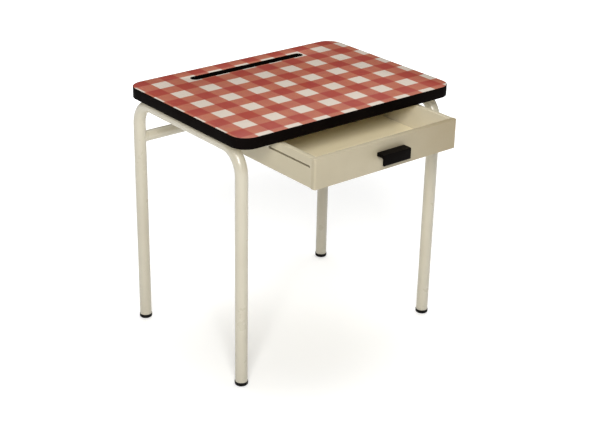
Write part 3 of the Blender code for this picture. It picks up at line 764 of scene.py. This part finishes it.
def make_back_rail():
    """The rail, with the fillet welds that join it to the back legs."""
    low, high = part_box("back_rail")
    middle = centre((low, high))
    radius = (high.z - low.z) / 2
    leg = centre(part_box("side_frame_right")).x
    leg_radius = (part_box("side_frame_right")[1].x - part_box("side_frame_right")[0].x) / 2
    flare_steps = 6

    def fit(edges, new_radius, short_of_leg, ripple=0.0):
        """Sets a ring of the rail to this radius, this far short of the leg's surface."""
        verts = {vert for edge in edges for vert in edge.verts}
        for vert in verts:
            angle = math.atan2(vert.co.z, vert.co.y)
            wave = ripple * (math.sin(9 * angle) + 0.6 * math.sin(17 * angle + 1.0))
            reach = new_radius + wave
            y, z = reach * math.cos(angle), reach * math.sin(angle)
            surface = leg - math.sqrt(leg_radius**2 - y**2) if abs(y) < leg_radius else leg
            vert.co = (surface - short_of_leg, y, z)

    bm = bmesh.new()
    upright = Matrix.Rotation(math.radians(90), 4, "Y")
    bmesh.ops.create_circle(bm, segments=TUBE_SIDES, radius=radius, matrix=upright)
    end = draw_edges(bm, list(bm.edges), (leg / 2, 0, 0))
    fit(end, radius, WELD_LEG)
    for step in range(1, flare_steps + 1):
        angle = math.radians(90 * step / flare_steps)
        end = draw_edges(bm, end, (0, 0, 0))
        flare = WELD_LEG * 0.42 * (1 - math.cos(angle))
        ripple = 0.12 * MM * math.sin(angle)
        fit(end, radius + flare, WELD_LEG * (1 - math.sin(angle)) - 0.1 * MM * math.sin(angle), ripple)
    end = draw_edges(bm, end, (0, 0, 0))
    fit(end, radius - TUBE_WALL, -0.1 * MM)
    draw_edges(bm, end, (0, 0, 0))
    inner = [edge for edge in bm.edges if len(edge.link_faces) == 1 and edge.verts[0].co.x > leg / 2]
    for vert in {vert for edge in inner for vert in edge.verts}:
        vert.co.x = 0.0
    halves = list(bm.verts) + list(bm.edges) + list(bm.faces)
    bmesh.ops.mirror(bm, geom=halves, axis="X", merge_dist=0.001 * MM)
    bmesh.ops.remove_doubles(bm, verts=bm.verts, dist=0.002 * MM)
    bmesh.ops.translate(bm, vec=(0.0, middle.y, middle.z), verts=bm.verts)
    bmesh.ops.recalc_face_normals(bm, faces=bm.faces)
    finish_piece("back_rail", bm, "desk", coated_tube)


def make_foot_cap(end, side):
    """A moulded cap: a rounded foot, a rim that the tube stands on and a ribbed plug inside it."""
    name = f"foot_cap_{end}_{side}"
    low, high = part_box(name)
    middle = centre((low, high))
    cap_radius = (high.x - low.x) / 2
    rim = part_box(f"side_frame_{side}")[0].z - 0.3 * MM
    plug_radius = cap_radius - 2.7 * MM
    valley = plug_radius - 0.6 * MM
    profile = [(0.0, high.z), (plug_radius - 1.2 * MM, high.z), (valley, high.z - 1.5 * MM)]
    rib = high.z - 3 * MM
    while rib > rim + 3 * MM:
        profile += [(valley, rib), (plug_radius, rib - 0.8 * MM), (valley, rib - 1.2 * MM)]
        rib -= 4 * MM
    profile.append((valley, rim))
    profile.append((cap_radius, rim))
    profile.append((cap_radius, 0.0))
    profile.append((0.0, 0.0))
    bm = turned_body(profile)
    tread = sharp_edges(bm, lambda co: co.z < 0.1 * MM)
    round_over(bm, tread, 4.2 * MM, 8)
    outer = cap_radius - 0.1 * MM
    upper = sharp_edges(bm, lambda co: abs(co.z - rim) < 0.1 * MM and co.xy.length > outer)
    round_over(bm, upper, 0.5 * MM, 3)
    bmesh.ops.translate(bm, vec=(middle.x, middle.y, 0.0), verts=bm.verts)
    finish_piece(name, bm, "desk", rubber)


def weld_bead(length):
    """A rippled bead of weld that runs along +Y, with small ends."""
    bm = bmesh.new()
    across = Matrix.Rotation(math.radians(90), 4, "X")
    bmesh.ops.create_circle(bm, segments=12, radius=BEAD_TIP, cap_ends=True, matrix=across)
    ring = list(bm.edges)
    radius = BEAD_TIP
    for step in range(1, BEAD_RIPPLES + 1):
        ring = draw_edges(bm, ring, (0, length / BEAD_RIPPLES, 0))
        last = step == BEAD_RIPPLES
        wanted = BEAD_TIP if last else (1.7 + 0.22 * math.sin(2.4 * step)) * MM
        verts = list({vert for edge in ring for vert in edge.verts})
        here = Matrix.Translation((0, -verts[0].co.y, 0))
        spread = (wanted / radius, 1.0, wanted / radius)
        bmesh.ops.scale(bm, vec=spread, space=here, verts=verts)
        radius = wanted
    bmesh.ops.contextual_create(bm, geom=ring)
    bmesh.ops.recalc_face_normals(bm, faces=bm.faces)
    return bm


def make_fixing_tab(end, side, sign):
    """A tab with its inner corners rounded, and the weld bead that holds it to the tube."""
    name = f"fixing_tab_{end}_{side}"
    low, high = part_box(name)
    middle = centre((low, high))
    screw = centre(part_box(f"tab_screw_{end}_{side}"))
    bm = bmesh.new()
    edges = flat_outline(bm, low, high, 5 * MM, 8, lambda co: sign * (co.x - middle.x) > 0)
    edges += round_outline(bm, screw, SCREW_BORE_RADIUS)
    fill_flat(bm, edges)
    thicken(bm, high.z - low.z)
    bmesh.ops.translate(bm, vec=(0, 0, low.z), verts=bm.verts)
    round_over(bm, sharp_edges(bm, lambda co: True), 0.3 * MM, 2)

    bead = weld_bead(high.y - low.y - 3 * MM)
    joined = bpy.data.meshes.new("bead")
    bead.to_mesh(joined)
    bead.free()
    seam_x = high.x if sign > 0 else low.x
    seam = (seam_x + sign * 0.2 * MM, low.y + 1.5 * MM, low.z - 0.4 * MM)
    copy_in(bm, joined, Matrix.Translation(seam))
    bpy.data.meshes.remove(joined)
    finish_piece(name, bm, "desk", coated)


def wood_screw(length):
    """A pan-head wood screw, point up, with its head's seat at z = 0."""
    profile = [(0.0, length), (0.5 * MM, length - 0.6 * MM)]
    core = SCREW_SHANK_RADIUS - THREAD_DEPTH
    height = length - 1.2 * MM
    while height > 3 * MM:
        full = min(1.0, (length - height) / (4 * MM))
        profile.append((core * full, height))
        profile.append((SCREW_SHANK_RADIUS * full, height - 0.35 * THREAD_PITCH))
        profile.append((core * full, height - 0.7 * THREAD_PITCH))
        height -= THREAD_PITCH
    profile += [(core, 2 * MM), (SCREW_SHANK_RADIUS, 1.6 * MM), (SCREW_SHANK_RADIUS, 0.0)]
    profile += [(SCREW_HEAD_RADIUS, 0.0), (SCREW_HEAD_RADIUS, -1.0 * MM)]
    profile += [(SCREW_HEAD_RADIUS * 0.72, -SCREW_HEAD_HEIGHT), (0.0, -SCREW_HEAD_HEIGHT)]
    bm = turned_body(profile, SCREW_STEPS)
    round_over(bm, sharp_edges(bm, lambda co: co.z < -0.5 * MM, 25), 0.7 * MM, 3)
    recess = []
    for turn in (0, 90):
        arm = cuboid((-2.1 * MM, -0.45 * MM, -3 * MM), (2.1 * MM, 0.45 * MM, -0.9 * MM))
        bottom = [vert for vert in arm.verts if vert.co.z > -1 * MM]
        bmesh.ops.scale(arm, vec=(0.45, 0.8, 1.0), verts=bottom)
        bmesh.ops.rotate(arm, matrix=Matrix.Rotation(math.radians(turn + 20), 3, "Z"), verts=arm.verts)
        recess.append(arm)
    carved = carve(bm, recess)
    mesh = bpy.data.meshes.new("wood_screw")
    carved.to_mesh(mesh)
    carved.free()
    return mesh


def place_screw(name, mesh, seat, body, turn=None):
    bm = bmesh.new()
    copy_in(bm, mesh, Matrix.Translation(seat) @ (turn or Matrix.Identity(4)))
    finish_piece(name, bm, body, zinc)


def make_runner(side, sign):
    """A strip folded to a Z, with round folds: top flange, web, and the lip in the drawer's groove."""
    name = f"runner_{side}"
    low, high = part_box(name)
    half = STEEL_GAUGE / 2
    flange_z = high.z - half
    lip_z = low.z + half
    far = max(abs(low.x), abs(high.x))
    near = min(abs(low.x), abs(high.x))
    bm = bmesh.new()
    folded = RUNNER_WEB + RUNNER_FOLD
    inner_end = folded + RUNNER_FOLD
    edges = flat_outline(bm, (folded, low.y), (far, high.y), 4 * MM, 6, lambda co: co.x < inner_end)
    for end in RUNNER_SCREWS:
        screw = centre(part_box(f"runner_screw_{end}_{side}"))
        edges += round_outline(bm, (abs(screw.x), screw.y), SCREW_BORE_RADIUS)
    fill_flat(bm, edges)
    bmesh.ops.translate(bm, vec=(0, 0, flange_z), verts=bm.verts)
    reach = folded + 0.1 * MM
    inner = [edge for edge in bm.edges if all(vert.co.x < reach for vert in edge.verts)]
    bend = turn_edges(bm, inner, (folded, 0, flange_z - RUNNER_FOLD), (0, 1, 0), -90, 6)
    web = draw_edges(bm, bend, (0, 0, lip_z + 2 * RUNNER_FOLD - flange_z))
    lip_start = RUNNER_WEB - RUNNER_FOLD
    bend = turn_edges(bm, web, (lip_start, 0, lip_z + RUNNER_FOLD), (0, 1, 0), 90, 6)
    draw_edges(bm, bend, (near - lip_start, 0, 0))
    bmesh.ops.remove_doubles(bm, verts=bm.verts, dist=0.001 * MM)
    middle_z = (flange_z + lip_z) / 2
    nose = low.y + RUNNER_NOSE
    slanted = [vert for vert in bm.verts if vert.co.z < middle_z and vert.co.y < nose]
    bmesh.ops.translate(bm, vec=(0, RUNNER_NOSE, 0), verts=slanted)
    bmesh.ops.recalc_face_normals(bm, faces=bm.faces)
    if sign < 0:
        bmesh.ops.scale(bm, vec=(-1, 1, 1), verts=bm.verts)
        bmesh.ops.reverse_faces(bm, faces=bm.faces)
    piece = finish_piece(name, bm, "desk", coated)
    gauge = piece.modifiers.new("gauge", "SOLIDIFY")
    gauge.thickness = STEEL_GAUGE
    gauge.offset = 0.0
    gauge.use_even_offset = True
    arris = piece.modifiers.new("arris", "BEVEL")
    arris.width = 0.25 * MM
    arris.segments = 2
    arris.limit_method = "ANGLE"
    arris.angle_limit = math.radians(50)


# Drawer

front_low, front_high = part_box("drawer_front")
floor_low, floor_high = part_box("drawer_floor")
drawer_z = front_low.z
joint_y = front_high.y


def housing():
    """The groove that the floor panel sits in, round all four walls."""
    play = 0.3 * MM
    low = (floor_low.x - play, floor_low.y - play, floor_low.z - play)
    return cuboid(low, (floor_high.x + play, floor_high.y + play, floor_high.z + play))


def dowel_holes():
    """The bores for the dowels. They are a little bigger than the dowels."""
    holes = []
    for name in sorted(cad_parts):
        if not name.startswith("dowel"):
            continue
        low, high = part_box(name)
        middle = centre((low, high))
        along = Vector((1, 0, 0)) if "back" in name else Vector((0, 1, 0))
        reach = (high - low).dot(along) / 2 + 0.3 * MM
        holes.append(bore(middle - reach * along, middle + reach * along, 3.3 * MM, 16))
    return holes


def pull_screw_bores():
    holes = []
    for side in SIDES:
        low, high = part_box(f"pull_screw_{side}")
        middle = centre((low, high))
        start = (middle.x, low.y - 1 * MM, middle.z)
        holes.append(bore(start, (middle.x, joint_y + 1 * MM, middle.z), SCREW_BORE_RADIUS))
    return holes


def make_drawer_front():
    """The front board covers the sides' ends, and its two outer corners are well rounded."""
    bm = cuboid(front_low, (front_high.x, joint_y, front_high.z))
    upright = sharp_edges(bm, lambda co: co.y < front_low.y + 1 * MM)
    corners = [edge for edge in upright if abs(edge.verts[0].co.z - edge.verts[1].co.z) > 1 * MM]
    round_over(bm, corners, DRAWER_CORNER_RADIUS, 12)
    outer = sharp_edges(bm, lambda co: co.y < joint_y - 0.1 * MM)
    outer = [edge for edge in outer if abs(edge.verts[0].co.z - edge.verts[1].co.z) < 1 * MM]
    round_over(bm, outer, OUTER_ARRIS, 5)
    inner = sharp_edges(bm, lambda co: co.y > joint_y - 0.1 * MM)
    inner = [edge for edge in inner if abs(edge.verts[0].co.z - edge.verts[1].co.z) < 1 * MM]
    round_over(bm, inner, JOINT_ARRIS, 2)
    carved = carve(bm, [housing(), *pull_screw_bores(), *dowel_holes()])
    finish_piece("drawer_front", carved, "drawer", right_shaded_front_lacquer)


def board_with_arrises(low, high, cut_y, outer_x):
    """A board with its long arrises rounded, sawn square where it meets the front."""
    bm = cuboid((low.x, low.y - 10 * MM, low.z), high)
    long_edges = [edge for edge in bm.edges if abs(edge.verts[0].co.y - edge.verts[1].co.y) > 1 * MM]
    outer = [edge for edge in long_edges if abs(edge.verts[0].co.x - outer_x) < 1 * MM]
    inner = [edge for edge in long_edges if edge not in outer]
    round_over(bm, outer, OUTER_ARRIS, 5)
    round_over(bm, inner, INNER_ARRIS, 2)
    whole = list(bm.verts) + list(bm.edges) + list(bm.faces)
    sawn = bmesh.ops.bisect_plane(
        bm, geom=whole, plane_co=(0, cut_y, 0), plane_no=(0, -1, 0), clear_outer=True
    )["geom_cut"]
    bmesh.ops.contextual_create(bm, geom=edges_of(sawn))
    bmesh.ops.recalc_face_normals(bm, faces=bm.faces)
    return bm


def make_drawer_side(side, sign):
    name = f"drawer_side_{side}"
    low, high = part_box(name)
    outer = max(abs(low.x), abs(high.x))
    bm = board_with_arrises(low, high, joint_y + LACQUERED_JOINT, sign * outer)
    across = sorted((sign * (outer + 1 * MM), sign * (outer - SIDE_GROOVE_DEPTH)))
    groove_z = drawer_z + SIDE_GROOVE_LOW
    groove = cuboid(
        (across[0], front_low.y + SIDE_GROOVE_STOP, groove_z),
        (across[1], high.y + 1 * MM, groove_z + SIDE_GROOVE_HEIGHT),
    )
    carved = carve(bm, [groove, housing(), *dowel_holes()])
    finish_piece(name, carved, "drawer", lacquered)


def make_drawer_back():
    low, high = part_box("drawer_back")
    bm = cuboid(low, high)
    long_edges = [edge for edge in bm.edges if abs(edge.verts[0].co.x - edge.verts[1].co.x) > 1 * MM]
    round_over(bm, long_edges, INNER_ARRIS, 3)
    carved = carve(bm, [housing(), *dowel_holes()])
    finish_piece("drawer_back", carved, "drawer", lacquered)


def make_pull():
    """A moulded pull: a plate with a lip turned down at its outer edge, all its edges soft."""
    low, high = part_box("drawer_pull")
    lip_back = low.y + PULL_LIP
    plate_low = high.z - PULL_PLATE
    section = [
        (high.y, high.z),
        (low.y, high.z),
        (low.y, low.z),
        (lip_back, low.z),
        (lip_back, plate_low),
        (high.y, plate_low),
    ]
    bm = bmesh.new()
    verts = [bm.verts.new((low.x, y, z)) for y, z in section]
    face = bm.faces.new(verts)
    drawn = bmesh.ops.extrude_face_region(bm, geom=[face])["geom"]
    bmesh.ops.translate(bm, vec=(high.x - low.x, 0, 0), verts=verts_of(drawn))
    bmesh.ops.recalc_face_normals(bm, faces=bm.faces)
    hollow = [
        edge
        for edge in bm.edges
        if all(abs(vert.co.y - lip_back) + abs(vert.co.z - plate_low) < 0.1 * MM for vert in edge.verts)
    ]
    round_over(bm, hollow, PULL_HOLLOW, 6)
    ends = sharp_edges(bm, lambda co: co.y < low.y + 0.1 * MM)
    upright = [edge for edge in ends if abs(edge.verts[0].co.z - edge.verts[1].co.z) > 1 * MM]
    round_over(bm, upright, PULL_CORNER, 5)
    outer = sharp_edges(bm, lambda co: co.y < high.y - 0.1 * MM)
    round_over(bm, outer, PULL_ARRIS, 4)
    carved = carve(bm, pull_screw_bores())
    finish_piece("drawer_pull", carved, "drawer", plastic)


def screw_up(name, mesh):
    """Puts a screw in from below, head down."""
    low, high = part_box(name)
    middle = centre((low, high))
    place_screw(name, mesh, (middle.x, middle.y, low.z + SCREW_HEAD_HEIGHT), "desk")


def screw_into_pull(name, mesh):
    """Puts a screw in from inside the drawer, point forward."""
    low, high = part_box(name)
    middle = centre((low, high))
    forward = Matrix.Rotation(math.radians(90), 4, "X")
    place_screw(name, mesh, (middle.x, high.y - SCREW_HEAD_HEIGHT, middle.z), "drawer", forward)


def make_pieces():
    make_laminate()
    make_core()
    make_edge_band()
    make_backing()
    make_back_rail()
    short_screw = wood_screw(SHORT_SCREW)
    long_screw = wood_screw(LONG_SCREW)
    for side, sign in SIDES.items():
        make_side_frame(side)
        make_runner(side, sign)
        make_drawer_side(side, sign)
        for end in ENDS:
            make_foot_cap(end, side)
            make_fixing_tab(end, side, sign)
            screw_up(f"tab_screw_{end}_{side}", short_screw)
        for end in RUNNER_SCREWS:
            screw_up(f"runner_screw_{end}_{side}", short_screw)
        screw_into_pull(f"pull_screw_{side}", long_screw)
    make_drawer_front()
    make_drawer_back()
    make_pull()


def dress_nodes():
    """Gives the CAD nodes that stay their better materials."""
    finishes = {"dowel": beech, "drawer_floor": panel}
    for name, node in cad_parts.items():
        for start, material in finishes.items():
            if name.startswith(start):
                for slot in node.material_slots:
                    slot.material = material


# Studio


def softbox(name, place, width, power):
    lamp = bpy.data.lights.new(name, "AREA")
    lamp.shape = "RECTANGLE"
    lamp.size = width
    lamp.size_y = width
    lamp.energy = power
    holder = bpy.data.objects.new(name, lamp)
    bpy.context.scene.collection.objects.link(holder)
    holder.location = place
    aim = Vector(LIGHT_TARGET) - Vector(place)
    holder.rotation_euler = aim.to_track_quat("-Z", "Y").to_euler()


def make_studio():
    bm = bmesh.new()
    bmesh.ops.create_grid(bm, x_segments=8, y_segments=8, size=FLOOR_HALF_SIZE)
    mesh = bpy.data.meshes.new("floor")
    bm.to_mesh(mesh)
    bm.free()
    floor = bpy.data.objects.new("floor", mesh)
    bpy.context.scene.collection.objects.link(floor)
    mesh.materials.append(studio_floor())

    world = bpy.data.worlds.new("studio")
    bpy.context.scene.world = world
    world.use_nodes = True
    sky = world.node_tree.nodes["Background"]
    sky.inputs["Color"].default_value = linear("#FFFFFF")
    sky.inputs["Strength"].default_value = WORLD_STRENGTH

    for light in LIGHTS:
        softbox(*light)


def make_camera():
    camera = bpy.data.objects.new("camera", bpy.data.cameras.new("camera"))
    bpy.context.scene.collection.objects.link(camera)
    camera.data.sensor_width = 36.0
    camera.data.lens = LENS
    camera.data.clip_end = 400.0
    heading = Matrix.Rotation(math.radians(CAMERA_HEADING), 4, "Z")
    pitch = Matrix.Rotation(math.radians(90 - CAMERA_DOWN), 4, "X")
    roll = Matrix.Rotation(math.radians(CAMERA_ROLL), 4, "Z")
    top = centre((band_low, band_high))
    stand = Matrix.Translation(Vector(CAMERA_PLACE) + Vector((0.0, top.y, 0.0)))
    camera.matrix_world = stand @ heading @ pitch @ roll
    bpy.context.scene.camera = camera


make_pieces()
dress_nodes()
make_studio()
make_camera()
bpy.context.scene.view_settings.view_transform = "Standard"
